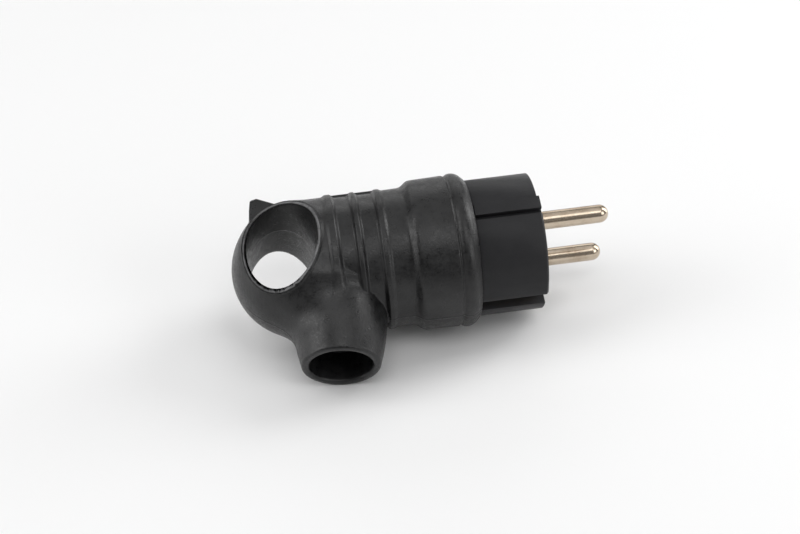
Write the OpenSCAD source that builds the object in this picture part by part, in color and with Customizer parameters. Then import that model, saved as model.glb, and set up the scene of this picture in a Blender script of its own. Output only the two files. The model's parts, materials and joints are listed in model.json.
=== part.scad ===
/* [Pins] */
// Diameter of each live pin
pin_d = 4.8; // [4.7:0.05:4.9]
// Length of a pin in front of the engagement face
pin_len = 19; // [18:0.5:20]
// Distance between the two pin axes
pin_pitch = 19; // [18.5:0.1:19.5]
// Diameter of a pin's root inside the carrier
root_d = 5.2; // [5:0.1:5.6]
// Diameter of the turned terminal block behind a pin
block_d = 7.8; // [7:0.1:8.4]
// Diameter of the wire hole in a terminal block
wire_d = 3.4; // [2.8:0.1:3.8]

/* [Contact carrier] */
// Diameter of the carrier in front of the boot
face_d = 36; // [35:0.1:37]
// Length of the carrier in front of the boot
face_len = 17.1; // [16:0.1:18]
// Length of the carrier and the terminal housing together
carrier_len = 34.8; // [33:0.1:36]
// Diameter of the carrier and the housing inside the boot
seat_d = 34; // [33:0.1:34.6]
// Diameter of the housing's rear end
rear_d = 32; // [31:0.1:33]
// Bevel round the front edge
face_bevel = 0.5; // [0.2:0.1:1]
// Width of the two guide channels on the pin line
channel_w = 5; // [4.6:0.1:5.6]
// Depth of the guide channels
channel_depth = 1.6; // [1.4:0.1:3]
// How far two of the four sectors of the front rim are set back
sector_back = 0.6; // [0.3:0.1:0.8]
// Width of the two slots for the earth springs
slot_w = 4.2; // [4.1:0.1:5]

/* [Earth contacts] */
// Distance between the outer faces of the earth bow's arms
bow_span = 30; // [29:0.1:31]
// Thickness of the bow's strip
bow_t = 0.8; // [0.6:0.05:1]
// Width of the bow's arms
bow_w = 4; // [3.6:0.1:4]
// Distance of the earth socket from the centre of the face
earth_offset = 10; // [9.8:0.1:10.2]
// Diameter of the earth socket's bore
earth_bore_d = 4.84; // [4.8:0.02:4.9]
// Wall of the earth sleeve
sleeve_wall = 0.63; // [0.5:0.01:0.7]

/* [Boot head] */
// Diameter over the bead at the mouth
bead_d = 40.6; // [39.5:0.1:41]
// Diameter of the head at its front end
head_d = 39.9; // [39:0.1:40.4]
// Diameter of the head at its shoulder
shoulder_d = 39.4; // [38.5:0.1:39.8]
// Distance from the face to the middle of the bead
bead_at = 20.5; // [20:0.1:21]

/* [Ribbed body] */
// Diameter of the body between the ribs
body_d = 36.1; // [35:0.1:37]
// Diameter over the rear rib and the middle rib
rib_d = 39.4; // [38.5:0.1:40]
// Diameter over the front rib
front_rib_d = 38.4; // [37.5:0.1:39]
// Distance from the face to the front rib
front_rib_at = 40.5; // [40:0.1:41]
// Distance from one rib to the next
rib_pitch = 6.5; // [6:0.1:7]
// Width of a rib
rib_w = 2.3; // [1.8:0.1:2.8]
// Bevel of a rib's edges
rib_edge = 0.5; // [0.3:0.1:0.8]
// Diameter over the two pads between the ribs
pad_d = 38.8; // [38:0.1:39]
// Width of those pads across the plug
pad_w = 18; // [14:0.5:22]

/* [Finger ring] */
// Distance from the face to the centre of the domed end
dome_at = 62.3; // [61:0.1:64]
// Distance from the face to the centre of the finger hole
hole_at = 67; // [66.5:0.1:68]
// Width of the finger hole along the plug
hole_w = 18; // [16:0.1:18.5]
// Length of the finger hole across the plug
hole_l = 24.4; // [22:0.1:25]
// Lean of the finger hole away from the pins, in degrees
hole_lean = 7; // [4:0.5:9]
// Number of flats round the finger hole
hole_sides = 48; // [32:8:64]
// Thickness of the fin behind the ring
fin_t = 4; // [3:0.5:5]

/* [Cable tube] */
// Lean of the tube's axis away from the pins, in degrees
lean = 6; // [4:0.5:8]
// Distance from the plug's axis to the tube's mouth
tube_len = 30.5; // [29:0.5:32]
// Distance from the face to where the tube's axis crosses the plug's axis
tube_at = 52.4; // [52:0.1:53]
// Diameter of the tube at its mouth
tube_d = 20.6; // [20.2:0.1:21.4]
// Growth of the tube's radius behind its mouth, per millimetre
tube_taper = 0.25; // [0.2:0.01:0.26]
// Slackening of that growth, per square millimetre
tube_curve = 0.0075; // [0.006:0.0005:0.008]
// Radius of the rounding where the tube leaves the body
root_fillet = 6.8; // [5:0.1:8]
// Diameter of the cable entry
entry_d = 16.3; // [15:0.1:17]
// Depth of the cable entry at that diameter
entry_len = 9; // [6:0.5:11]
// Diameter of the throat between the entry and the wiring chamber
throat_d = 14; // [12:0.5:15]
// Diameter of the wiring chamber
chamber_d = 29.6; // [28:0.1:30]
// Distance from the face to the end of the wiring chamber
chamber_end = 54.5; // [53:0.1:55]

/* [Cord grip] */
// Diameter of the groove that holds the cable's sheath
grip_d = 9.2; // [7:0.1:10]
// Distance between the two grip screws
grip_pitch = 15.2; // [14.6:0.1:15.6]
// Width of the saddle across the plug
saddle_w = 20.8; // [20:0.1:21.4]

/* [Fasteners] */
// Diameter of the terminal and grip screws
small_screw_d = 3; // [2.8:0.1:3.2]
// Diameter of the assembly screw
main_screw_d = 4; // [3.5:0.1:4.2]
// Diameter of the self-tapping cover screws
tapping_d = 2.8; // [2.4:0.1:3]

/* [Hidden] */
$fn = 96;
rubber = [0.13, 0.13, 0.13];
nylon = [0.07, 0.07, 0.075];
grey_nylon = [0.45, 0.46, 0.47];
nickel = [0.86, 0.82, 0.74];
brass = [0.80, 0.66, 0.36];
steel = [0.68, 0.69, 0.70];

// Radii that many pieces share
pin_r = pin_d/2;
face_r = face_d/2;
seat_r = seat_d/2;
rear_r = rear_d/2;
bead_r = bead_d/2;
body_r = body_d/2;
pin_z = pin_pitch/2;

// Boot: the head's outline and what it holds
mouth_r = bead_r - seat_r;
bead_round = 2.1;
bead_round_from = 6;
bead_round_to = 40;
groove_depth = 0.35;
groove_w = 0.5;
head_front = bead_at + 2.3;
head_back = 31.2;
shoulder_back = 34.2;
neck_rise = 0.6;
neck_back = 37.6;
rear_step_at = 30;
snap_at = 25;
snap_w = 2;
snap_h = 0.8;
rib_places = [front_rib_at, front_rib_at + rib_pitch, front_rib_at + 2*rib_pitch];
rib_sizes = [front_rib_d/2, rib_d/2, rib_d/2];
pad_places = [front_rib_at + rib_pitch/2, front_rib_at + 1.5*rib_pitch];
tube_base = 10;
fillet_from = 15.2;
tube_plain = [18:3:27];
rim_round = 0.9;
inside_clear = 0.05;
over = 1;
hair = 0.01;

// Finger ring: the middle of the hole off the axis, the fin's outline in the plane of the ring
// (its rounded tip, its feet on the dome and where they leave the tip), and the web to the tube
hole_y = 0.6;
fin_tip = [-72, 21.2];
fin_tip_r = 1.5;
fin_rear_foot = [-74.2, 10];
fin_front_foot = [-60, 16.6];
fin_inner_foot = [-62, 10];
fin_rear_leave = 176;
fin_front_leave = 72;
web_low = [-60.6, -13];
web_high = [-55.5, -25.6];
web_low_r = 9.6;
web_high_r = 10.6;

// Rest pose: bead and tube mouth lie on the same level, so the plug rolls by this angle
mouth_edge_r = tube_d/2;
mouth_edge_s = (tube_len - rim_round)*cos(lean);
rest_roll = asin(bead_r/norm([mouth_edge_s, mouth_edge_r])) - atan(mouth_edge_r/mouth_edge_s);

// Carrier and terminal housing: where they meet, chambers, slots and holes
housing_at = 19;
sector_inner_r = 14.2;
chamber_w = 9;
slot_floor = bow_span/2 - bow_t;
screw_at = 27;
access_r = 2.7;
lead_r = 2.7;
lead_len = 1;
main_y = -7;
main_head_r = 3.1;
main_head_len = 2.4;
washer_t = 0.6;
washer_rim = 0.3;
recess_r = 3.6;
recess_depth = 3.4;
tapping_y = -8.5;
tapping_z = 8;
tapping_len = 8;
tapping_head_r = 2.4;
tapping_head_len = 1.6;

// Live pins, their screws and the leaves between screw and wire
block_back = carrier_len - 2.3;
wire_depth = 10;
pin_screw_head_r = 2.4;
pin_screw_head_len = 1.8;
pin_screw_gap = 0.2;
leaf_over = 0.8;
leaf_t = 0.3;
leaf_half_w = 1.1;
leaf_len = 9.4;
leaf_tab_t = 0.4;
leaf_tab_h = 2;

// Earth parts
plate_half_w = 4.6;
plate_side = 1.5;
bow_front = 1.6;
sleeve_r = earth_bore_d/2 + sleeve_wall;
sleeve_front = 1.2;
sleeve_back = 18.5;
sleeve_floor = 2;
stem_r = 1.8;
rivet_r = 2.6;
rivet_t = 1;
rivet_clear = 0.2;
slit_w = 0.7;
slit_len = 10;
spring_t = 0.35;
spring_w = 2;
spring_at = 4;
spring_gap = 1.6;
earth_screw_y = 2;
earth_screw_r = 1.7;
earth_head_r = 3.2;
earth_head_len = 2.4;
clamp_plate_w = 6.4;
clamp_plate_t = 1;

// Terminal cover and cord grip
cover_r = 14.5;
cover_t = 3;
cover_back = carrier_len + cover_t;
boss_r = 5.4;
nut_af = 7;
nut_t = 3;
window_r = 3.2;
window_y = 1;
earth_window_r = 4.9;
web_y = [5.4, 7.8];
web_half_w = 6.5;
saddle_x = [43.5, 50.5];
saddle_low = 0.4;
bar_x = [44.5, 49.5];
bar_y = [-7.2, -3];
grip_y = -1;
grip_screw_x = 47;
grip_head_r = 2.5;
grip_head_len = 2.2;
square_nut = 5.4;
square_nut_t = 2.4;
screw_past = 0.8;
driver_slot = 0.7;
driver_depth = 0.9;

// Turns a piece from the plug's upright frame into the pose in which it rests
module at_rest() {
    rotate([rest_roll, 0, 0]) children();
}

// Lays a turned shape along the plug, its height becoming the distance behind the face
module behind(d) {
    translate([-d, 0, 0]) rotate([0, 90, 0]) children();
}

// A cylinder along the plug from one distance behind the face to another, off the axis by y and z
module rod(from, to, r, y = 0, z = 0) {
    translate([0, y, z]) behind(to) cylinder(h = to - from, r = r);
}

// A block between two distances behind the face and between two places across the plug
module block(from, to, y0, y1, z0, z1) {
    translate([-to, y0, z0]) cube([to - from, y1 - y0, z1 - z0]);
}

// Sends what is drawn upwards out along the leaning cable tube
module down_tube() {
    translate([-tube_at, 0, 0]) rotate([0, 0, -lean]) rotate([90, 0, 0]) children();
}

function arc(cx, cy, r, a0, a1, n) =
    [for (i = [0:n]) [cx + r*cos(a0 + (a1 - a0)*i/n), cy + r*sin(a0 + (a1 - a0)*i/n)]];
function soft_step(p, q, n) =
    [for (i = [0:n]) [p[0] + (q[0] - p[0])*(3 - 2*i/n)*pow(i/n, 2), p[1] + (q[1] - p[1])*i/n]];

// Outlines of one rib and of head, neck and body: radius, then distance behind the face
function rib_outline(at, r) = let (w = rib_w/2)
    [[body_r, at - w - rib_edge], [r - rib_edge, at - w], [r, at - w + rib_edge],
    [r, at + w - rib_edge], [r - rib_edge, at + w], [body_r, at + w + rib_edge]];
function boot_outline() = concat(
    [[0, bead_at - mouth_r]],
    arc(seat_r, bead_at, mouth_r, -90, 0, 12),
    arc(bead_r - bead_round, bead_at, bead_round, bead_round_from, bead_round_to, 4),
    [[head_d/2 - groove_depth, head_front - groove_w], [head_d/2, head_front]],
    soft_step([shoulder_d/2, head_back], [body_r + neck_rise, shoulder_back], 8),
    [[body_r, neck_back]],
    [for (i = [0:2]) each rib_outline(rib_places[i], rib_sizes[i])],
    arc(0, dome_at, body_r, 0, 90, 12));

// Outline of the cable tube: radius, then distance from the plug's axis
function tube_radius(s) = let (back = tube_len - rim_round - s)
    tube_d/2 + tube_taper*back - tube_curve*pow(back, 2)
    + (s < fillet_from ? root_fillet - sqrt(pow(root_fillet, 2) - pow(fillet_from - s, 2)) : 0);
function tube_outline() = concat(
    [[0, tube_base]],
    [for (s = [tube_base:1:fillet_from]) [tube_radius(s), s]],
    [for (s = tube_plain) [tube_radius(s), s]],
    arc(tube_d/2 - rim_round, tube_len - rim_round, rim_round, 0, 90, 6),
    [[0, tube_len]]);

module finger_hole() {
    translate([-hole_at, hole_y, -body_d]) rotate([0, 0, -hole_lean]) linear_extrude(2*body_d)
        polygon([for (i = [0:hole_sides - 1]) let (a = 360*i/hole_sides) [hole_w/2*cos(a), hole_l/2*sin(a)]]);
}

module pads() {
    for (x = pad_places) {
        intersection() {
            rod(x - rib_pitch/2, x + rib_pitch/2, pad_d/2);
            block(x - rib_pitch/2, x + rib_pitch/2, 0, pad_d, -pad_w/2, pad_w/2);
        }
    }
}

function fin_tip_edge(turn) = fin_tip + fin_tip_r*[cos(turn), sin(turn)];

module fin() {
    translate([0, 0, -fin_t/2]) linear_extrude(fin_t) {
        polygon([fin_rear_foot, fin_tip_edge(fin_rear_leave), fin_tip_edge(fin_front_leave),
            fin_front_foot, fin_inner_foot]);
        translate(fin_tip) circle(r = fin_tip_r, $fn = 32);
    }
}

// Web that eases the tube's root into the domed end
module web() {
    along = web_high - web_low;
    translate([web_low[0], web_low[1], 0]) rotate([0, 0, atan2(along[1], along[0])]) rotate([0, 90, 0])
        cylinder(h = norm(along), r1 = web_low_r, r2 = web_high_r);
}

module boot_outside() {
    rotate([0, -90, 0]) rotate_extrude() polygon(boot_outline());
    pads();
    down_tube() rotate_extrude() polygon(tube_outline());
    web();
    fin();
}

// Everything that is hollow in the boot
module boot_inside() {
    rod(0, rear_step_at, seat_r);
    rod(rear_step_at - hair, carrier_len, rear_r);
    rod(snap_at - snap_w/2, snap_at + snap_w/2, seat_r + snap_h);
    rod(carrier_len - hair, chamber_end, chamber_d/2);
    down_tube() translate([0, 0, tube_base]) cylinder(h = tube_len, r = throat_d/2);
    down_tube() translate([0, 0, tube_len - entry_len]) cylinder(h = 2*entry_len, r = entry_d/2);
    finger_hole();
}

module boot() {
    color(rubber) at_rest() difference() {
        boot_outside();
        boot_inside();
    }
}

// Everything that is hollow in the carrier and in the housing behind it
module carrier_inside() {
    for (s = [-1, 1]) {
        // pin hole, terminal chamber and screw access on each side
        rod(-over, carrier_len, root_d/2, 0, s*pin_z);
        translate([0, 0, s*pin_z])
            block(housing_at, carrier_len + over, -chamber_w/2, chamber_w/2, -chamber_w/2, chamber_w/2);
        translate([-screw_at, 0, 0]) rotate([s > 0 ? 0 : 180, 0, 0])
            translate([0, 0, pin_z]) cylinder(h = seat_r, r = access_r);
        rod(carrier_len - tapping_len, carrier_len + over, tapping_d/2, tapping_y, s*tapping_z);
    }
    // slots for the bow's arms and the bed of its plate
    block(-over, carrier_len + over, -face_d, -slot_floor, -slot_w/2, slot_w/2);
    block(-over, carrier_len + over, slot_floor, face_d, -slot_w/2, slot_w/2);
    block(carrier_len - bow_t, carrier_len + over, -face_d, face_d, -plate_half_w, plate_half_w);
    // earth socket
    rod(-over, lead_len + hair, lead_r, earth_offset);
    rod(lead_len, sleeve_back, sleeve_r + spring_t + inside_clear, earth_offset);
    rod(sleeve_back - hair, sleeve_back + sleeve_floor, sleeve_r, earth_offset);
    rod(sleeve_back, carrier_len, stem_r, earth_offset);
    // assembly screw and earth screw
    rod(-over, recess_depth, recess_r, main_y);
    rod(0, carrier_len, main_screw_d/2, main_y);
    rod(carrier_len - tapping_len, carrier_len, earth_screw_r, earth_screw_y);
}

// The rim of two sectors that lie opposite each other, as far as they are set back
module sector_steps() {
    for (turn = [0, 180]) {
        rotate([turn, 0, 0]) difference() {
            block(-over, sector_back, 0, face_r + over, 0, face_r + over);
            rod(-2*over, sector_back + over, sector_inner_r);
        }
    }
}

module contact_carrier() {
    color(nylon) at_rest() difference() {
        rotate([0, -90, 0]) rotate_extrude() polygon([[0, 0], [face_r - face_bevel, 0],
            [face_r, face_bevel], [face_r, face_len], [seat_r, face_len], [seat_r, housing_at], [0, housing_at]]);
        carrier_inside();
        sector_steps();
        for (s = [-1, 1]) {
            translate([0, 0, s*(face_r - channel_depth/2 + over)])
                block(-over, face_len, -channel_w/2, channel_w/2, -channel_depth/2 - over, channel_depth/2 + over);
        }
    }
}

module terminal_housing() {
    color(nylon) at_rest() difference() {
        union() {
            rod(housing_at, rear_step_at, seat_r);
            rod(rear_step_at - hair, carrier_len, rear_r);
            rod(snap_at - snap_w/2, snap_at + snap_w/2, seat_r + snap_h);
        }
        carrier_inside();
    }
}

module live_pin(side) {
    difference() {
        union() {
            rod(-(pin_len - pin_r), 0, pin_r, 0, side*pin_z);
            rod(0, housing_at + over, root_d/2, 0, side*pin_z);
            translate([pin_len - pin_r, 0, side*pin_z]) sphere(r = pin_r);
            rod(housing_at, block_back, block_d/2, 0, side*pin_z);
        }
        rod(block_back - wire_depth, block_back + over, wire_d/2, 0, side*pin_z);
        translate([-screw_at, 0, 0]) rotate([side > 0 ? 0 : 180, 0, 0])
            translate([0, 0, pin_z]) cylinder(h = block_d, r = small_screw_d/2);
    }
}

module line_pin() {
    color(nickel) at_rest() live_pin(1);
}

module neutral_pin() {
    color(nickel) at_rest() live_pin(-1);
}

// Leaf between the screw's point and the wire, with a tab bent up behind the block
module wire_guard(side) {
    leaf_z = pin_z + leaf_over;
    leaf_back = block_back + leaf_tab_t;
    mirror([0, 0, side > 0 ? 0 : 1]) {
        block(block_back - leaf_len, leaf_back, -leaf_half_w, leaf_half_w, leaf_z - leaf_t, leaf_z);
        block(block_back, leaf_back, -leaf_half_w, leaf_half_w, leaf_z - leaf_t, leaf_z + leaf_tab_h);
    }
}

module line_wire_guard() {
    color(brass) at_rest() wire_guard(1);
}

module neutral_wire_guard() {
    color(brass) at_rest() wire_guard(-1);
}

// Slotted cheese-head screw that points up: its head ends at z = 0
module cheese_screw(shank_r, shank_len, head_r, head_len) {
    difference() {
        union() {
            cylinder(h = shank_len, r = shank_r);
            translate([0, 0, -head_len]) cylinder(h = head_len, r = head_r);
        }
        translate([-head_r - over, -driver_slot/2, -head_len - over])
            cube([2*head_r + 2*over, driver_slot, driver_depth + over]);
    }
}

module terminal_screws() {
    head_z = pin_z + block_d/2 + pin_screw_gap;
    shank_len = head_z - pin_z - leaf_over;
    color(steel) at_rest() for (side = [-1, 1]) {
        translate([-screw_at, 0, 0]) rotate([side > 0 ? 180 : 0, 0, 0]) translate([0, 0, -head_z])
            cheese_screw(small_screw_d/2, shank_len, pin_screw_head_r, pin_screw_head_len);
    }
}

module earth_bow() {
    arm = bow_span/2;
    color(brass) at_rest() difference() {
        union() {
            for (s = [-1, 1]) {
                block(bow_front, carrier_len, min(s*arm, s*slot_floor), max(s*arm, s*slot_floor), -bow_w/2, bow_w/2);
            }
            block(carrier_len - bow_t, carrier_len, -arm, arm, -bow_w/2, bow_w/2);
            block(carrier_len - bow_t, carrier_len, -slot_floor + plate_side, slot_floor - plate_side,
                -plate_half_w, plate_half_w);
        }
        rod(carrier_len - bow_t - over, carrier_len + over, stem_r, earth_offset);
        rod(carrier_len - bow_t - over, carrier_len + over, main_screw_d/2, main_y);
        rod(carrier_len - bow_t - over, carrier_len + over, earth_screw_r, earth_screw_y);
    }
}

module earth_sleeve() {
    color(nickel) at_rest() difference() {
        union() {
            rod(sleeve_front, sleeve_back + sleeve_floor, sleeve_r, earth_offset);
            rod(sleeve_back + sleeve_floor - hair, carrier_len + rivet_t, stem_r, earth_offset);
            rod(carrier_len, carrier_len + rivet_t, rivet_r, earth_offset);
        }
        rod(0, sleeve_back, earth_bore_d/2, earth_offset);
        translate([0, earth_offset, 0])
            block(0, sleeve_front + slit_len, -sleeve_r - over, sleeve_r + over, -slit_w/2, slit_w/2);
    }
}

module earth_sleeve_spring() {
    color(steel) at_rest() difference() {
        rod(spring_at - spring_w/2, spring_at + spring_w/2, sleeve_r + spring_t, earth_offset);
        rod(0, face_len, sleeve_r, earth_offset);
        block(0, face_len, 0, earth_offset, -spring_gap/2, spring_gap/2);
    }
}

module earth_clamp_plate() {
    half = clamp_plate_w/2;
    color(steel) at_rest() difference() {
        block(carrier_len, carrier_len + clamp_plate_t, earth_screw_y - half, earth_screw_y + half, -half, half);
        rod(carrier_len - over, carrier_len + clamp_plate_t + over, earth_screw_r, earth_screw_y);
    }
}

module earth_terminal_screw() {
    head_at = carrier_len + clamp_plate_t;
    color(steel) at_rest() translate([-head_at, earth_screw_y, 0]) rotate([0, 90, 0])
        cheese_screw(earth_screw_r, clamp_plate_t + tapping_len, earth_head_r, earth_head_len);
}

module terminal_cover() {
    color(grey_nylon) at_rest() difference() {
        union() {
            rod(carrier_len, cover_back, cover_r);
            rod(cover_back - hair, cover_back + nut_t, boss_r, main_y);
            block(cover_back - hair, saddle_x[1], web_y[0], web_y[1], -web_half_w, web_half_w);
            block(saddle_x[0], saddle_x[1], saddle_low, web_y[1], -saddle_w/2, saddle_w/2);
        }
        for (s = [-1, 1]) {
            rod(0, cover_back + over, window_r, window_y, s*pin_z);
            rod(0, cover_back + over, tapping_d/2, tapping_y, s*tapping_z);
            translate([-grip_screw_x, 0, s*grip_pitch/2]) rotate([-90, 0, 0])
                cylinder(h = body_r, r = small_screw_d/2);
            block(grip_screw_x - square_nut/2, grip_screw_x + square_nut/2,
                web_y[1] - square_nut_t, web_y[1] + over,
                s*grip_pitch/2 - square_nut/2, s*grip_pitch/2 + square_nut/2);
        }
        rod(0, cover_back + over, earth_window_r, earth_screw_y);
        rod(0, carrier_len + rivet_t + rivet_clear, rivet_r + rivet_clear, earth_offset);
        rod(0, cover_back + nut_t + over, main_screw_d/2, main_y);
        translate([-cover_back - nut_t - over, main_y, 0]) rotate([0, 90, 0])
            cylinder(h = nut_t + over, d = nut_af/cos(30), $fn = 6);
        rod(saddle_x[0] - over, saddle_x[1] + over, grip_d/2, grip_y);
    }
}

module assembly_nut() {
    color(steel) at_rest() difference() {
        translate([-cover_back - nut_t, main_y, 0]) rotate([0, 90, 0])
            cylinder(h = nut_t, d = nut_af/cos(30), $fn = 6);
        rod(0, cover_back + nut_t + over, main_screw_d/2, main_y);
    }
}

module assembly_screw() {
    head_at = recess_depth - washer_t;
    color(steel) at_rest() translate([-head_at, main_y, 0]) rotate([0, -90, 0])
        cheese_screw(main_screw_d/2, cover_back + nut_t + screw_past - head_at, main_head_r, main_head_len);
}

module assembly_washer() {
    color(steel) at_rest() difference() {
        rod(recess_depth - washer_t, recess_depth, main_head_r + washer_rim, main_y);
        rod(0, face_len, main_screw_d/2, main_y);
    }
}

module cover_screws() {
    color(steel) at_rest() for (s = [-1, 1]) {
        translate([-cover_back, tapping_y, s*tapping_z]) rotate([0, 90, 0])
            cheese_screw(tapping_d/2, cover_t + tapping_len, tapping_head_r, tapping_head_len);
    }
}

module cord_clamp_bar() {
    color(grey_nylon) at_rest() difference() {
        block(bar_x[0], bar_x[1], bar_y[0], bar_y[1], -saddle_w/2, saddle_w/2);
        rod(saddle_x[0], saddle_x[1], grip_d/2, grip_y);
        for (s = [-1, 1]) {
            translate([-grip_screw_x, bar_y[0] - over, s*grip_pitch/2]) rotate([-90, 0, 0])
                cylinder(h = body_r, r = small_screw_d/2);
        }
    }
}

module cord_clamp_screws() {
    color(steel) at_rest() for (s = [-1, 1]) {
        translate([-grip_screw_x, bar_y[0], s*grip_pitch/2]) rotate([-90, 0, 0])
            cheese_screw(small_screw_d/2, web_y[1] - bar_y[0] + screw_past, grip_head_r, grip_head_len);
    }
}

module cord_clamp_nuts() {
    color(steel) at_rest() for (s = [-1, 1]) {
        difference() {
            block(grip_screw_x - square_nut/2, grip_screw_x + square_nut/2,
                web_y[1] - square_nut_t, web_y[1],
                s*grip_pitch/2 - square_nut/2, s*grip_pitch/2 + square_nut/2);
            translate([-grip_screw_x, 0, s*grip_pitch/2]) rotate([-90, 0, 0])
                cylinder(h = body_r, r = small_screw_d/2);
        }
    }
}

boot();
contact_carrier();
terminal_housing();
terminal_cover();
line_pin();
neutral_pin();
line_wire_guard();
neutral_wire_guard();
terminal_screws();
earth_bow();
earth_sleeve();
earth_sleeve_spring();
earth_clamp_plate();
earth_terminal_screw();
cord_clamp_bar();
cord_clamp_screws();
cord_clamp_nuts();
assembly_screw();
assembly_washer();
assembly_nut();
cover_screws();
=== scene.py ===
import json
import math

import bmesh
import bpy
import numpy as np
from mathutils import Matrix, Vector


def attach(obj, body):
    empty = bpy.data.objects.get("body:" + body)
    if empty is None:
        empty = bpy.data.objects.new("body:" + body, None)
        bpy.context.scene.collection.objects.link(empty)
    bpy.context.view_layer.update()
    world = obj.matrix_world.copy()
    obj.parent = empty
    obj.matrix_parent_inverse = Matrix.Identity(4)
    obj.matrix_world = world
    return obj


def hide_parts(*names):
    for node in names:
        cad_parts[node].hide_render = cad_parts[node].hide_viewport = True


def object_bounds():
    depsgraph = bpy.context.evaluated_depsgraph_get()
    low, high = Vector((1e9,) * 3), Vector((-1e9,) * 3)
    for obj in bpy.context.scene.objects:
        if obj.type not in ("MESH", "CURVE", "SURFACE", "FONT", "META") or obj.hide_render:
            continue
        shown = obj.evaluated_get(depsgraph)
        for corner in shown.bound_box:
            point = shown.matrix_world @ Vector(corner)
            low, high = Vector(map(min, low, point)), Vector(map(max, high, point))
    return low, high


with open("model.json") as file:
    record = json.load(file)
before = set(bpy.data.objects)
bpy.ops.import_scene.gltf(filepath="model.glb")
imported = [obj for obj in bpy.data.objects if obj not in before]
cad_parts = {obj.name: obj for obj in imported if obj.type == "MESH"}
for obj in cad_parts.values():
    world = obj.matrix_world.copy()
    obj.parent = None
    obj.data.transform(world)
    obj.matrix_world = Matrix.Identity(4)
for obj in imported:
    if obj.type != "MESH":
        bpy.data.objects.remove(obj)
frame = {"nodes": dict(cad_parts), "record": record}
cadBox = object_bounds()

mm = 0.001
nodes = frame["nodes"]


def placed(name, data):
    piece = bpy.data.objects.new(name, data)
    bpy.context.scene.collection.objects.link(piece)
    return piece


def mergedCopy(name):
    # a solid is loose triangles, so its copy is joined first
    copy = bmesh.new()
    copy.from_mesh(nodes[name].data)
    bmesh.ops.remove_doubles(copy, verts=copy.verts, dist=0.002*mm)
    return copy


def meshFrom(copy, name):
    mesh = bpy.data.meshes.new(name)
    copy.to_mesh(mesh)
    copy.free()
    return mesh


# shader maths

class Value:                      # a shader socket that can stand in a sum
    def __init__(self, look, socket):
        self.look = look
        self.socket = socket

    def __add__(self, other):
        return self.look.maths("ADD", self, other)

    def __sub__(self, other):
        return self.look.maths("SUBTRACT", self, other)

    def __rsub__(self, other):
        return self.look.maths("SUBTRACT", other, self)

    def __mul__(self, other):
        return self.look.maths("MULTIPLY", self, other)

    def __truediv__(self, other):
        return self.look.maths("DIVIDE", self, other)

    def __rtruediv__(self, other):
        return self.look.maths("DIVIDE", other, self)

    __radd__ = __add__
    __rmul__ = __mul__


class Look:                       # one material, and the ways to fill it
    def __init__(self, name):
        self.material = bpy.data.materials.new(name)
        self.material.use_nodes = True
        self.tree = self.material.node_tree
        self.tree.nodes.clear()
        surface = self.node("BsdfPrincipled")
        self.shader = surface.socket.node
        self.node("OutputMaterial", inputs={"Surface": surface})
        self.place = self.node("TexCoord", out="Object")

    def node(self, kind, settings=None, inputs=None, out=0):
        made = self.tree.nodes.new("ShaderNode" + kind)
        for key, value in (settings or {}).items():
            setattr(made, key, value)
        for key, value in (inputs or {}).items():
            self.feed(made.inputs[key], value)
        return Value(self, made.outputs[out]) if len(made.outputs) else None

    def feed(self, socket, value):
        if isinstance(value, Value):
            self.tree.links.new(value.socket, socket)
        elif socket.type == "RGBA":
            socket.default_value = (*value, 1)
        else:
            socket.default_value = value

    def maths(self, operation, first, second=0.0):
        return self.node("Math", {"operation": operation}, {0: first, 1: second})

    def mapped(self, scale=(1, 1, 1), turn=(0, 0, 0), shift=(0, 0, 0)):
        return self.node("Mapping", None, {"Vector": self.place, "Location": shift,
                                           "Rotation": turn, "Scale": scale})

    def noise(self, size, detail=3.0, rough=0.5, along=None):
        # size is the width of one patch in millimetres
        return self.node("TexNoise", None, {"Vector": along or self.place, "Scale": 1/(size*mm),
                                            "Detail": detail, "Roughness": rough})

    def cells(self, size):
        return self.node("TexVoronoi", None, {"Vector": self.place, "Scale": 1/(size*mm)})

    def band(self, value, low, high, bottom=0.0, top=1.0):
        # 0 below low, 1 above high, eased between
        return self.node("MapRange", {"interpolation_type": "SMOOTHSTEP"},
                         {"Value": value, "From Min": low, "From Max": high, "To Min": bottom, "To Max": top})

    def mix(self, amount, first, second):
        return self.node("Mix", {"data_type": "RGBA"}, {0: amount, 6: first, 7: second}, out=2)

    def ring(self, centre, half, width, roll, lean):
        # 1 on an oval wall about the centre, 0 farther off than the width; millimetres and radians
        c, s = math.cos(lean), math.sin(lean)
        shift = (-(centre[0]*c - centre[1]*s)*mm, -(centre[0]*s + centre[1]*c)*mm, 0)
        turned = self.mapped(turn=(-roll, 0, lean), shift=shift)
        across, along = (self.node("SeparateXYZ", None, {0: turned}, out=k)/(half[k]*mm) for k in (0, 1))
        far = self.maths("POWER", across*across + along*along, 0.5)
        reach = (half[0] + half[1])/2
        return self.band(self.maths("ABSOLUTE", (far - 1.0)*reach), width*0.35, width, 1.0, 0.0)

    def bump(self, height, depth, strength):
        # depth in millimetres between height 0 and height 1
        return self.node("Bump", None, {"Height": height, "Distance": depth*mm, "Strength": strength})

    def wear(self, **inputs):
        for key, value in inputs.items():
            self.feed(self.shader.inputs[key.replace("_", " ")], value)
        return self.material


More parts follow.
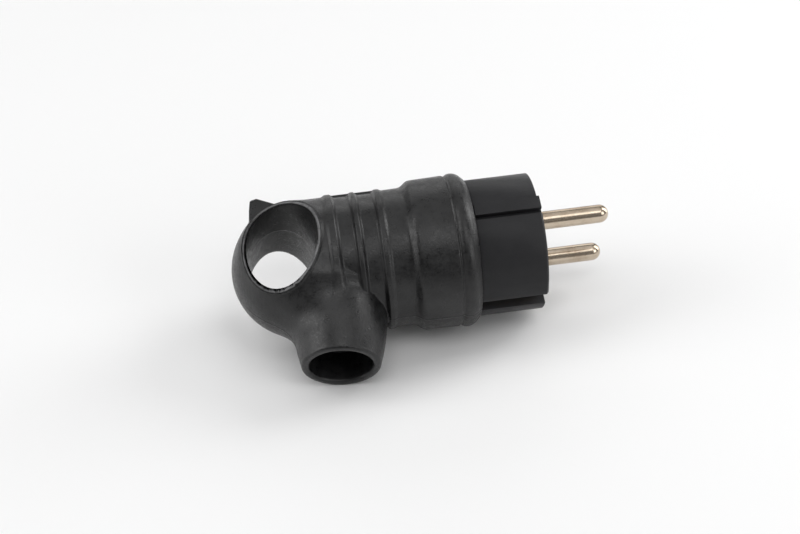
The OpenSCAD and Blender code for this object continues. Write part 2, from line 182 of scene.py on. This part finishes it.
def rubberFinish(form):
    look = Look("mouldedRubber")
    # the last tone is the colour of a painted highlight on the finger hole's rim
    tone = {"deep": (0.0045, 0.0045, 0.0048), "bloom": (0.017, 0.017, 0.0175), "dust": (0.12, 0.118, 0.115),
            "paintedRimHighlight": (0.17, 0.17, 0.173)}
    patches = look.noise(9, 4, 0.55)
    grain = look.noise(0.45, 3, 0.6)
    mottle = look.noise(1.8, 4, 0.6)
    bloom = look.band(patches*0.7 + mottle*0.3, 0.36, 0.68)
    specks = look.band(look.cells(1.6), 0.05, 0.11, 1.0, 0.0)
    rare = look.band(look.noise(2.6, 2), 0.62, 0.7)
    colour = look.mix(bloom, tone["deep"], tone["bloom"])
    colour = look.mix(specks*rare*0.6, colour, tone["dust"])
    # painted highlight: a pale ring on the rubber round the finger hole's rim, broken up by the mottle
    x, y, width, length, _, lean = form["hole"]
    off, wide, roll = form["paintedRimLine"]
    mouth = look.ring((x, y), (width + off, length + off), wide, math.radians(roll), math.radians(lean))
    paintedRimHighlight = mouth*look.band(mottle, 0.3, 0.6, 0.5, 1.0)
    colour = look.mix(paintedRimHighlight, colour, tone["paintedRimHighlight"])
    height = grain*0.45 + mottle*0.55
    return look.wear(Base_Color=colour, Roughness=look.band(mottle*0.5 + grain*0.5, 0.35, 0.65, 0.27, 0.48),
                     Normal=look.bump(height, 0.1, 0.9), Specular_IOR_Level=0.42)


def carrierFinish():
    look = Look("carrierMoulding")
    tone = {"deep": (0.018, 0.018, 0.019), "pale": (0.028, 0.028, 0.030), "dust": (0.14, 0.14, 0.14)}
    patches = look.noise(7, 3)
    grain = look.noise(0.3, 2)
    specks = look.band(look.cells(1.9), 0.04, 0.09, 1.0, 0.0)*look.band(look.noise(3), 0.6, 0.68)
    colour = look.mix(patches, tone["deep"], tone["pale"])
    colour = look.mix(specks*0.6, colour, tone["dust"])
    height = grain*0.4 + look.noise(1.4, 4, 0.6)*0.6
    return look.wear(Base_Color=colour, Roughness=look.band(patches*0.6 + grain*0.4, 0.3, 0.7, 0.34, 0.46),
                     Normal=look.bump(height, 0.07, 0.8), Specular_IOR_Level=0.14)


def metalFinish(name, pale, dull, rough, stretch=60):
    # drawn lines run the way the pins point
    look = Look(name)
    streaks = look.noise(1.2, 3, 0.6, look.mapped((1/stretch, 1, 1)))
    stain = look.noise(3.5, 4, 0.6)
    colour = look.mix(look.band(stain*0.6 + streaks*0.4, 0.4, 0.66), pale, dull)
    return look.wear(Base_Color=colour, Metallic=1.0,
                     Roughness=look.band(streaks*0.7 + stain*0.3, 0.3, 0.7, rough, rough + 0.14),
                     Normal=look.bump(streaks, 0.01, 0.4))


def coverFinish():
    look = Look("coverMoulding")
    patches = look.noise(5, 3)
    grain = look.noise(0.3, 2)
    colour = look.mix(patches, (0.19, 0.19, 0.2), (0.25, 0.25, 0.26))
    return look.wear(Base_Color=colour, Roughness=look.band(grain, 0.3, 0.7, 0.4, 0.55),
                     Normal=look.bump(grain, 0.02, 0.4))


# boot: the solid of the same name gets a fine skin, settled on the moulding's real shape

bootForm = {                      # millimetres and degrees, in the plug's upright frame
    "voxel": 0.3,
    "even": 6,                    # smoothing rounds before faces are taken away
    "keep": 0.42,                 # share of the fine skin's faces that stays
    "rounds": (5, 3),             # times the points are moved, before and after that
    "stride": 0.4,                # farthest move in one round
    "close": 0.003,               # a point this near has settled
    "reach": 1.2,                 # how far a point may go in all
    "body": 18.05,
    "bead": (20.3, 20.5, 3.3),    # radius over all, distance behind the face, radius of the arc
    "beadFront": (17.13, 17.98),  # flat ring before the arc: distance and outer radius
    "beadEdge": (17.95, 18.0, 0.8),     # its rounded edge: centre and radius
    "beadBack": 2.1,              # radius of the arc behind the crest
    "beadFoot": [(22.0, 19.72), (22.32, 19.62)],
    "head": (22.75, 19.97, 32.0, 19.74),    # place and radius at its start and end
    "headWaist": (27, 0.08),      # where it is a little narrower, and by how much
    "neck": (34.0, 18.15, 37.6),  # place and radius at its start, place of its end
    "neckStep": 0.02,             # how far its end lies over the body
    "shoulderEdge": 0.8,
    # place and radius of each rib, its widths at crest and root
    "ribs": [(40.3, 18.5, 1.2, 2.7), (46.7, 18.5, 1.0, 2.4), (53.2, 18.6, 1.5, 3.2)],
    "ribEdge": 0.3,
    "valley": 17.55,              # between the ribs
    "skew": 0.042,                # how far the rings of the boot lean, per millimetre across it
    "skewTurn": 31,
    "skewStart": (24, 32),        # the lean comes in and goes out between these
    "skewEnd": (56, 61),
    "pads": [(43.5, 18.25), (49.9, 18.25)],     # place and radius
    "padSize": (2.6, 9.0, 12),    # half length, half width, distance from the axis where it starts
    "padEdge": 0.3,
    "dome": 62.3,
    "tubeAt": 52.4,
    "tubeLean": 6.7,
    "tubeLength": 30.4,
    "tubeMouth": (10.3, 0.25, 0.0075),  # radius, growth towards the body and how that slows
    "tubeRim": 0.9,
    "tubeRoot": (15.2, 6.8),      # where the fillet starts, its radius
    "tubeStart": (5, 11.0, 0.8),  # closed here inside the body, walls from here on, in steps
    "crisp": 0.3,                 # joint of tube and body in front
    "soft": 6.0,                  # and on the ring
    "softFrom": (46, 62),
    "fin": [(-74.4, 10), (-73.6, 19.5), (-72.9, 22.2), (-71.6, 22.6), (-60.5, 16.9), (-62, 10)],
    "finHalf": 2.0,
    "finEdge": 0.7,
    "finRoot": 2.2,
    "flash": (0.08, 0.22),        # the mould's seam along ring and tube: height and half width
    "flashFrom": (5, 11),
    "flashEnd": (27.6, 28.6),
    "hole": (-67.03, 0.59, 8.9, 12.1, 0.41, 7.2),   # centre, half width and length, flare, lean
    "holeDepth": 16,              # from the middle to where the flare is given
    "holeStep": (0.16, 0.2),      # step between the halves of the mould in the hole: height, half width
    "lip": (0.75, 0.6),           # radius, distance from the hole's wall
    "lipRise": 0.05,
    "lipBlend": (0.5, 0.9),       # into the ring and into the hole
    "paintedRimLine": (0.85, 0.5, 21.3248),   # painted highlight on the hole's rim: beyond the hole's half sizes, half width, the solid's roll
    "collar": 0.5,                # the far side of the ring stands up a little
    "collarFade": ((0.5, 5), (3, 10), (-6, 6)),     # from the hole, along z and along y
    "hollows": [(0, 30, 17.0), (24, 26, 17.8), (29, 34.8, 16), (34, 54.5, 14.8)],   # from, to, radius
    "hollowEdge": 0.2,
    "throat": (7.0, 10),          # radius and start of the tube's bore, then of its wider entry
    "entry": (8.15, 21.5),
    "entryEdge": 1.0,
}
pastAxis = -3                     # outlines close beyond the axis, which leaves no wall on it

finishes = {                      # the painted highlight line on the rubber follows the boot's finger hole
    "rubber_boot": rubberFinish(bootForm),
    "carrier_moulding": carrierFinish(),
    "cover_moulding": coverFinish(),
    "plated_pin": metalFinish("nickelPlate", (0.58, 0.49, 0.39), (0.44, 0.35, 0.26), 0.16),
    "spring_bronze": metalFinish("springBronze", (0.72, 0.53, 0.28), (0.55, 0.38, 0.2), 0.28),
    "zinc_steel": metalFinish("zincSteel", (0.66, 0.67, 0.68), (0.5, 0.5, 0.5), 0.3),
}
slotOf = {row["node"]: row["material_slot"] for row in frame["record"]["subparts"]}
for name, piece in nodes.items():
    for slot in piece.material_slots:
        slot.material = finishes[slotOf[name]]
print("finishes on", len(nodes), "pieces")


def softUnion(first, second, width):
    meet = np.maximum(width - np.abs(first - second), 0)/width
    return np.minimum(first, second) - meet*meet*width/4


def softCut(first, second, width):
    return -softUnion(-first, second, width)


def eased(value, low, high):
    t = np.clip((value - low)/(high - low), 0, 1)
    return t*t*(3 - 2*t)


def arcPoints(along, radius, size, start, stop, steps):
    turns = np.radians(np.linspace(start, stop, steps + 1))
    return [(along + size*math.sin(t), radius + size*math.cos(t)) for t in turns]


def rounded(points, size, steps=4):
    # the same polyline with each inner corner turned into a short curve
    result = [points[0]]
    for before, here, after in zip(points, points[1:], points[2:]):
        here = np.array(here)
        first, last = np.array(before) - here, np.array(after) - here
        lengths = np.linalg.norm(first), np.linalg.norm(last)
        cut = min(size, lengths[0]*0.45, lengths[1]*0.45)     # neighbouring curves don't meet
        start, stop = here + first/lengths[0]*cut, here + last/lengths[1]*cut
        for t in np.linspace(0, 1, steps + 1):
            result.append(tuple((1 - t)**2*start + 2*t*(1 - t)*here + t*t*stop))
    return result + [points[-1]]


def outlineField(along, radius, outline):
    # signed distance to a closed outline in the half plane beside an axis
    nearest = np.full(along.shape, 1e9)
    inside = np.zeros(along.shape, bool)
    for (a0, r0), (a1, r1) in zip(outline, outline[1:] + outline[:1]):
        da, dr = a1 - a0, r1 - r0
        if da*da + dr*dr < 1e-12:
            continue
        t = np.clip(((along - a0)*da + (radius - r0)*dr)/(da*da + dr*dr), 0, 1)
        nearest = np.minimum(nearest, (along - a0 - t*da)**2 + (radius - r0 - t*dr)**2)
        if dr:
            crosses = (r0 > radius) != (r1 > radius)
            inside ^= crosses & (along < da*(radius - r0)/dr + a0)
    return np.sqrt(nearest)*np.where(inside, -1, 1)


def bodyOutline(form):
    over, beadAt, arc = form["bead"]
    frontAt, frontRadius = form["beadFront"]
    back = form["beadBack"]
    headAt, headRadius, headEnd, headLast = form["head"]
    waistAt, waistFall = form["headWaist"]
    neckAt, neckRadius, neckEnd = form["neck"]
    neckLast = form["body"] + form["neckStep"]
    slope = [(frontAt, pastAxis), (frontAt, frontRadius)] + arcPoints(*form["beadEdge"], -88, -52, 4)
    slope += arcPoints(beadAt, over - arc, arc, -38, 0, 8)
    slope += arcPoints(beadAt, over - back, back, 6, 40, 4)
    head = [(headAt, headRadius), (waistAt, headRadius - waistFall), (headEnd, headLast)]
    shoulder = [(neckAt, neckRadius), (neckEnd, neckLast)]
    slope += rounded(form["beadFoot"] + head + shoulder, form["shoulderEdge"])
    wall = [(neckEnd, neckLast)]
    before = form["body"]
    for at, radius, crest, root in form["ribs"]:
        after = form["body"] if at == form["ribs"][-1][0] else form["valley"]
        wall += [(at - root/2, before), (at - crest/2, radius), (at + crest/2, radius), (at + root/2, after)]
        before = after
    wall.append((form["dome"] - 2, form["body"]))     # straight up to the dome
    slope += rounded(wall, form["ribEdge"])[1:]
    slope += arcPoints(form["dome"], 0, form["body"], 0, 90, 24)
    return slope + [(form["dome"] + form["body"], pastAxis)]


def tubeOutline(form):
    mouth, growth, curve = form["tubeMouth"]
    end, rim = form["tubeLength"], form["tubeRim"]
    root, fillet = form["tubeRoot"]
    closed, start, step = form["tubeStart"]
    points = [(closed, pastAxis)]
    for at in np.arange(start, end - rim, step):
        back = end - rim - at
        radius = mouth + growth*back - curve*back*back
        if at < root:
            radius += fillet - math.sqrt(max(fillet**2 - (root - at)**2, 0))
        points.append((at, radius))
    points += arcPoints(end - rim, mouth - rim, rim, 0, 90, 8)
    return points + [(end, pastAxis)]


def tubeFrame(x, y, z, form):
    # distance along the tube and from its axis
    lean = math.radians(form["tubeLean"])
    x = x + form["tubeAt"]
    out = -x*math.sin(lean) - y*math.cos(lean)
    side = x*math.cos(lean) - y*math.sin(lean)
    return out, np.hypot(side, z)


def skewAt(x, y, z, form):
    turn = math.radians(form["skewTurn"])
    skew = form["skew"]*(z*math.cos(turn) - y*math.sin(turn))
    return skew*eased(-x, *form["skewStart"])*(1 - eased(-x, *form["skewEnd"]))


def padField(x, y, z, radius, at, over, form):
    halfLong, halfWide, root = form["padSize"]
    return np.maximum(np.maximum(radius - over, np.abs(x + at) - halfLong),
                      np.maximum(np.abs(z) - halfWide, root - y))


def finField(x, y, z, form, outline):
    flat = outlineField(x, y, outline)
    thick = np.abs(z) - form["finHalf"] + form["finEdge"]
    inside = np.minimum(np.maximum(flat, thick), 0)
    return inside + np.hypot(np.maximum(flat, 0), np.maximum(thick, 0)) - form["finEdge"]


def hollowField(x, radius, out, wide, form):
    hollows = [np.maximum(radius - size, np.maximum(-x - stop, start + x))
               for start, stop, size in form["hollows"]]
    bore, start = form["throat"]
    return np.minimum.reduce(hollows + [np.maximum(wide - bore, start - out)])


def holeField(x, y, z, form):
    cx, cy, width, length, flare, lean = form["hole"]
    turn = math.radians(-lean)
    x, y = x - cx, y - cy
    across = x*math.cos(turn) + y*math.sin(turn)
    along = -x*math.sin(turn) + y*math.cos(turn)
    step, half = form["holeStep"]
    grow = flare*np.abs(z)/form["holeDepth"] + step*(0.5 - eased(z, -half, half))
    ratio = np.hypot(across/(width + grow), along/(length + grow))
    steep = np.hypot(across/(width + grow)**2, along/(length + grow)**2)
    return ratio*(ratio - 1)/np.maximum(steep, 1e-4)


def lipRound(x, y, z, form, above, away):
    # distance to the line where both are 0; wall and skin don't meet squarely on the dome
    cx, cy, width, length = form["hole"][:4]
    back = np.minimum(x + form["dome"], 0)
    wallX, wallY = (x - cx)/width**2, (y - cy)/length**2
    size = np.sqrt(back**2 + y*y + z*z)*np.hypot(wallX, wallY)
    meet = np.clip((back*wallX + y*wallY)/np.maximum(size, 1e-6), 0, 0.8)
    return np.sqrt((above**2 + away**2 - 2*meet*above*away)/(1 - meet*meet))


def bootField(points, form, outlines):
    x, y, z = points.T
    bodyLine, tubeLine, finLine = outlines
    radius = np.hypot(y, z)
    skew = skewAt(x, y, z, form)
    body = outlineField(-x - skew, radius, bodyLine)
    for at, over in form["pads"]:
        body = softUnion(body, padField(x + skew, y, z, radius, at, over, form), form["padEdge"])

    out, wide = tubeFrame(x, y, z, form)
    blend = form["crisp"] + (form["soft"] - form["crisp"])*eased(-x, *form["softFrom"])
    solid = softUnion(body, outlineField(out, wide, tubeLine), blend)
    solid = softUnion(solid, finField(x, y, z, form, finLine), form["finRoot"])
    height, width = form["flash"]
    seam = eased(-y, *form["flashFrom"])*(1 - eased(out, *form["flashEnd"]))
    solid = solid - height*seam*np.exp(-(z/width)**2)

    hole = holeField(x, y, z, form)
    offHole, alongZ, alongY = form["collarFade"]
    rise = form["collar"]*(1 - eased(hole, *offHole))*eased(z, *alongZ)*eased(y, *alongY)
    body, solid = body - rise, solid - rise
    size, away = form["lip"]
    lip = lipRound(x, y, z, form, body + form["lipRise"], hole - away) - size
    intoRing, intoHole = form["lipBlend"]
    solid = softCut(softUnion(solid, lip, intoRing), hole, intoHole)

    entryRadius, entryFrom = form["entry"]
    entry = np.maximum(wide - entryRadius, entryFrom - out)
    solid = softCut(solid, hollowField(x, radius, out, wide, form), form["hollowEdge"])
    return softCut(solid, entry, form["entryEdge"])


def reshaped(mesh, modifiers):
    # the mesh as these modifiers leave it
    piece = placed(mesh.name, mesh)
    for kind, settings in modifiers.items():
        modifier = piece.modifiers.new(kind.lower(), kind)
        for key, value in settings.items():
            setattr(modifier, key, value)
    result = bpy.data.meshes.new_from_object(piece.evaluated_get(bpy.context.evaluated_depsgraph_get()))
    bpy.data.objects.remove(piece)
    return result


def makeSkin(name, form):
    copy = mergedCopy(name)
    bmesh.ops.recalc_face_normals(copy, faces=copy.faces)
    fine = {"mode": "VOXEL", "voxel_size": form["voxel"]*mm}
    skin = reshaped(meshFrom(copy, name + "Copy"), {"REMESH": fine})
    outlines = [bodyOutline(form), tubeOutline(form), inset(form["fin"], form["finEdge"])]
    roll = restRoll(form)
    turn = np.array([[1, 0, 0], [0, math.cos(roll), math.sin(roll)], [0, -math.sin(roll), math.cos(roll)]])
    settle(skin, form, outlines, turn, form["rounds"][0])
    even = {"factor": 0.5, "iterations": form["even"]}
    fewer = {"ratio": form["keep"], "use_collapse_triangulate": True}
    skin = reshaped(skin, {"SMOOTH": even, "DECIMATE": fewer})
    slope = settle(skin, form, outlines, turn, form["rounds"][1])
    for face in skin.polygons:
        face.use_smooth = True
    return placed(name + "Skin", skin), slope @ turn


def restRoll(form):
    # bead and tube mouth lie on the same level
    over = form["bead"][0]
    radius = form["tubeMouth"][0]
    out = (form["tubeLength"] - form["tubeRim"])*math.cos(math.radians(form["tubeLean"]))
    return math.asin(over/math.hypot(out, radius)) - math.atan(radius/out)


def settle(skin, form, outlines, turn, steps):
    # moves the points onto the form, and returns the form's slope at each
    spots = np.empty(len(skin.vertices)*3)
    skin.vertices.foreach_get("co", spots)
    spots = spots.reshape(-1, 3)/mm @ turn.T
    start = spots.copy()
    loose = np.arange(len(spots))
    for step in range(steps):
        value, slope = fieldSlope(spots[loose], form, outlines)
        move = spots[loose] - np.clip(value, -form["stride"], form["stride"])[:, None]*slope
        near = np.linalg.norm(move - start[loose], axis=1) < form["reach"]
        spots[loose[near]] = move[near]
        loose = loose[np.abs(value) > form["close"]]
    value, slope = fieldSlope(spots, form, outlines)
    off = int((np.abs(value) > 0.05).sum())
    print("boot skin:", len(skin.polygons), "faces,", off, "points more than 0.05 mm off the form")
    skin.vertices.foreach_set("co", (spots @ turn*mm).ravel())
    skin.update()
    return slope


def inset(points, size):
    # corners go in a fifth farther than the sides between them
    centre = np.mean(points, axis=0)
    return [tuple(np.array(p) + (centre - p)/np.linalg.norm(centre - p)*size*1.2) for p in points]


def fieldSlope(spots, form, outlines, reach=0.03):
    # distance to the form and its direction, from four places close by; short where it is nearly flat
    corners = ((1, 1, 1), (1, -1, -1), (-1, 1, -1), (-1, -1, 1))
    slope = np.zeros_like(spots)
    total = 0
    for corner in corners:
        corner = np.array(corner, float)
        value = bootField(spots + corner*reach, form, outlines)
        slope += value[:, None]*corner
        total = total + value
    slope /= 4*reach
    size = np.linalg.norm(slope, axis=1)
    return total/4/np.maximum(size, 0.3), slope/np.maximum(size, 1e-6)[:, None]


bootSkin, bootNormals = makeSkin("boot", bootForm)
bootSkin.data.materials.clear()
bootSkin.data.materials.append(finishes["rubber_boot"])
bootSkin.data.normals_split_custom_set_from_vertices([tuple(n) for n in bootNormals])
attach(bootSkin, "root")
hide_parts("boot")
print("boot made")


# carrier: the solid itself with its moulded edges eased

carrierForm = {                   # millimetres and degrees
    "edge": 0.22,
    "steps": 2,
    "sharp": 35,                  # edges sharper than this are eased
    "flat": 0.4,                  # faces that differ less become one
    "front": (0.7, 0.3),          # points less than this behind the face come forward
    "keyX": (-17, 0.3),           # a low key leaves only a narrow gap of each guide channel
    "keyY": (-1.15, 2.5),
    "keyRadius": (16.0, 18.2),
    "keyCuts": 6,
}


def addKey(copy, form, turn):
    key = bmesh.new()
    bmesh.ops.create_cube(key, size=1)
    wide = [e for e in key.edges if abs(e.verts[0].co.y - e.verts[1].co.y) > 0.5]
    bmesh.ops.subdivide_edges(key, edges=wide, cuts=form["keyCuts"], use_grid_fill=True)
    inner, outer = form["keyRadius"]
    back, front = form["keyX"]
    start, stop = (math.asin(y/outer) for y in form["keyY"])
    for vert in key.verts:
        along, around, out = (v + 0.5 for v in vert.co)
        angle = start + (stop - start)*around - turn
        radius = inner + (outer - inner)*out
        x = back + (front - back)*along
        vert.co = Vector((x, radius*math.sin(angle), radius*math.cos(angle)))*mm
    mesh = meshFrom(key, "key")
    copy.from_mesh(mesh)
    bpy.data.meshes.remove(mesh)


def easeEdges(name, form):
    copy = mergedCopy(name)
    depth, forward = form["front"]
    for vert in copy.verts:
        if vert.co.x > -depth*mm:
            vert.co.x += forward*mm
    for half in (0, math.pi):
        addKey(copy, form, restRoll(bootForm) + half)
    bmesh.ops.dissolve_limit(copy, angle_limit=math.radians(form["flat"]), verts=copy.verts,
                             edges=copy.edges)
    bmesh.ops.recalc_face_normals(copy, faces=copy.faces)
    for face in copy.faces:
        face.smooth = True
    mesh = meshFrom(copy, name + "Eased")
    mesh.materials.append(finishes[slotOf[name]])
    piece = placed(name + "Eased", mesh)
    bevel = piece.modifiers.new("edges", "BEVEL")
    bevel.width = form["edge"]*mm
    bevel.segments = form["steps"]
    bevel.limit_method = "ANGLE"
    bevel.angle_limit = math.radians(form["sharp"])
    bevel.harden_normals = True
    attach(piece, "root")
    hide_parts(name)


easeEdges("contact_carrier", carrierForm)
print("carrier made")


# floor, light and camera

stageSetup = {                    # metres and watts
    "floorSize": 6.0,
    "floorShade": (0.88, 0.88, 0.88),
    "floorRough": 0.7,
    "sky": 0.18,
    "target": (-0.03, 0, 0),
    "lights": [
        # name, place, width, depth, power
        ("top", (-0.05, 0.05, 0.90), 0.9, 0.9, 1.6),
        ("left", (-0.85, 0.00, 0.35), 0.5, 0.9, 3.7),
        ("leftTop", (-0.55, 0.10, 0.65), 0.3, 0.7, 0.7),
        ("back", (0.00, 0.85, 0.40), 1.0, 0.5, 1.9),
        ("right", (0.80, 0.26, 0.36), 0.45, 1.0, 6.2),
        ("frontTop", (0.00, -0.50, 0.90), 0.8, 0.4, 2.2),
        ("frontRight", (0.60, -0.60, 0.45), 0.5, 0.5, 2.2),
    ],
}


def layFloor(setup, height):
    floor = bmesh.new()
    bmesh.ops.create_grid(floor, x_segments=1, y_segments=1, size=setup["floorSize"]/2)
    bmesh.ops.translate(floor, verts=floor.verts, vec=(0, 0, height))
    mesh = meshFrom(floor, "floor")
    pale = Look("paleFloor").wear(Base_Color=setup["floorShade"], Roughness=setup["floorRough"])
    mesh.materials.append(pale)
    piece = placed("floor", mesh)


def hangLights(setup):
    for name, place, width, depth, power in setup["lights"]:
        lamp = bpy.data.lights.new(name, "AREA")
        lamp.shape = "RECTANGLE"
        lamp.size = width
        lamp.size_y = depth
        lamp.energy = power
        holder = placed(name, lamp)
        holder.location = place
        holder.rotation_euler = (Vector(setup["target"]) - Vector(place)).to_track_quat("-Z", "Y").to_euler()
    world = bpy.data.worlds.new("studio")
    world.use_nodes = True
    sky = world.node_tree.nodes["Background"]
    sky.inputs["Color"].default_value = (1, 1, 1, 1)
    sky.inputs["Strength"].default_value = setup["sky"]
    bpy.context.scene.world = world


cameraSetup = {
    "eye": (-90.651, -413.230, 321.672),       # millimetres
    "turn": (52.033, 1.9753, -9.0663),         # degrees
    "lens": 90.0,
    "sensor": 36.0,
    "clip": (0.01, 20),                        # metres
}


def setCamera(setup):
    lens = bpy.data.cameras.new("view")
    lens.sensor_width = setup["sensor"]
    lens.lens = setup["lens"]
    lens.clip_start, lens.clip_end = setup["clip"]
    holder = placed("view", lens)
    holder.location = [v*mm for v in setup["eye"]]
    holder.rotation_euler = [math.radians(v) for v in setup["turn"]]
    bpy.context.scene.camera = holder


layFloor(stageSetup, cadBox[0][2])
hangLights(stageSetup)
setCamera(cameraSetup)
bpy.context.scene.view_settings.view_transform = "Standard"
print("stage set")
